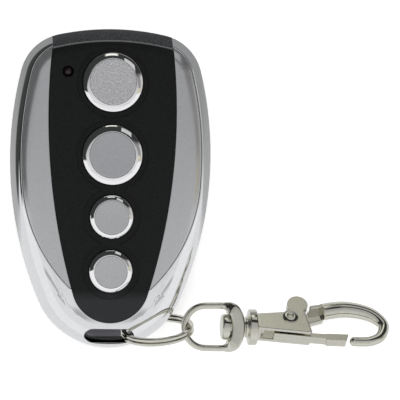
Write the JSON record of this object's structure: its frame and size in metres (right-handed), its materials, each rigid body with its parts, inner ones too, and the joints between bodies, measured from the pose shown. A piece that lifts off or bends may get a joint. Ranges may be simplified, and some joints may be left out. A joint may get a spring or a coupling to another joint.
{
  "type": "gate remote control",
  "caption": "Pocket gate remote with round push buttons in a chrome and black casing, on a split ring with a swivelling snap clasp.",
  "frame": {"origin": "middle of the back face, on the surface that the remote lies on", "axes": "+Z out of the button face, +Y to the antenna end, +X to the side where the chain lies"},
  "size_m": [0.0721, 0.0605, 0.0153],
  "materials": {
    "black_plastic": "fine matte grain",
    "chrome": "mirror plating on plastic",
    "satin_silver": "satin silver paint on plastic",
    "nickel": "polished nickel plate on steel",
    "board": "glass fibre board",
    "package": "moulded package",
    "tin": "tinned steel",
    "ceramic": "ceramic",
    "copper": "bare copper",
    "battery_sleeve": "printed sleeve, bare here",
    "zinc_screw": "zinc plated steel",
    "clear": "tinted clear plastic"
  },
  "bodies": {
    "housing": {"back_casing": "black_plastic", "front_casing": "black_plastic", "face_plate": "black_plastic", "chrome_frame": "chrome", "left_side_panel": "satin_silver", "right_side_panel": "satin_silver", "switch_1_body": "package", "switch_2_body": "package", "switch_3_body": "package", "switch_4_body": "package", "led": "clear", "circuit_board": "board", "encoder_chip": "package", "saw_resonator": "tin", "rf_transistor": "package", "trimmer_capacitor": "ceramic", "resistors": "package", "capacitors": "ceramic", "antenna_loop": "copper", "battery": "battery_sleeve", "battery_tip": "tin", "contact_positive": "tin", "contact_negative": "tin", "case_screws": "zinc_screw"},
    "button_1": {"button_1_cap": "chrome", "button_1_disc": "satin_silver", "switch_1_plunger": "package"},
    "button_2": {"button_2_cap": "chrome", "button_2_disc": "satin_silver", "switch_2_plunger": "package"},
    "button_3": {"button_3_cap": "chrome", "button_3_disc": "satin_silver", "switch_3_plunger": "package"},
    "button_4": {"button_4_cap": "chrome", "button_4_disc": "satin_silver", "switch_4_plunger": "package"},
    "ring": {"split_ring": "nickel"},
    "loop": {"swivel_loop": "nickel"},
    "clasp": {"swivel_rivet": "nickel", "swivel_collar": "nickel", "clasp_body": "nickel", "clasp_rivet": "nickel", "gate_spring": "tin"},
    "gate": {"clasp_gate": "nickel"}
  },
  "joints": [
    {"name": "button_1_press", "type": "slide", "parent": "housing", "child": "button_1", "axis": [0, -0.1112, -0.9938], "range_m": [0, 0.0003], "stiffness_N_per_m": 500, "springref_m": -0.0005},
    {"name": "button_2_press", "type": "slide", "parent": "housing", "child": "button_2", "axis": [0, -0.002, -1], "range_m": [0, 0.0003], "stiffness_N_per_m": 500, "springref_m": -0.0005},
    {"name": "button_3_press", "type": "slide", "parent": "housing", "child": "button_3", "axis": [0, 0.0912, -0.9958], "range_m": [0, 0.0003], "stiffness_N_per_m": 500, "springref_m": -0.0005},
    {"name": "button_4_press", "type": "slide", "parent": "housing", "child": "button_4", "axis": [0, 0.1728, -0.985], "range_m": [0, 0.0003], "stiffness_N_per_m": 500, "springref_m": -0.0005},
    {"name": "ring_swing", "type": "hinge", "parent": "housing", "child": "ring", "pos_m": [0.00284, -0.02727, 0.0072], "axis": [0.0358, -0.3401, 0.9397], "range_deg": [-75, 0]},
    {"name": "loop_swing", "type": "hinge", "parent": "ring", "child": "loop", "pos_m": [0.01432, -0.02593, 0.00715], "axis": [0, 1, 0], "range_deg": [-60, 60]},
    {"name": "clasp_swivel", "type": "hinge", "parent": "loop", "child": "clasp", "pos_m": [0.02645, -0.02593, 0.00608], "axis": [0.9962, 0, -0.0872], "continuous": true},
    {"name": "gate_open", "type": "hinge", "parent": "clasp", "child": "gate", "pos_m": [0.03426, -0.02514, 0.00478], "axis": [0.0687, 0.6157, 0.785], "range_deg": [0, 18], "stiffness_Nm_per_rad": 0.004, "springref_deg": -17.19, "deforming": ["gate_spring"]}
  ]
}
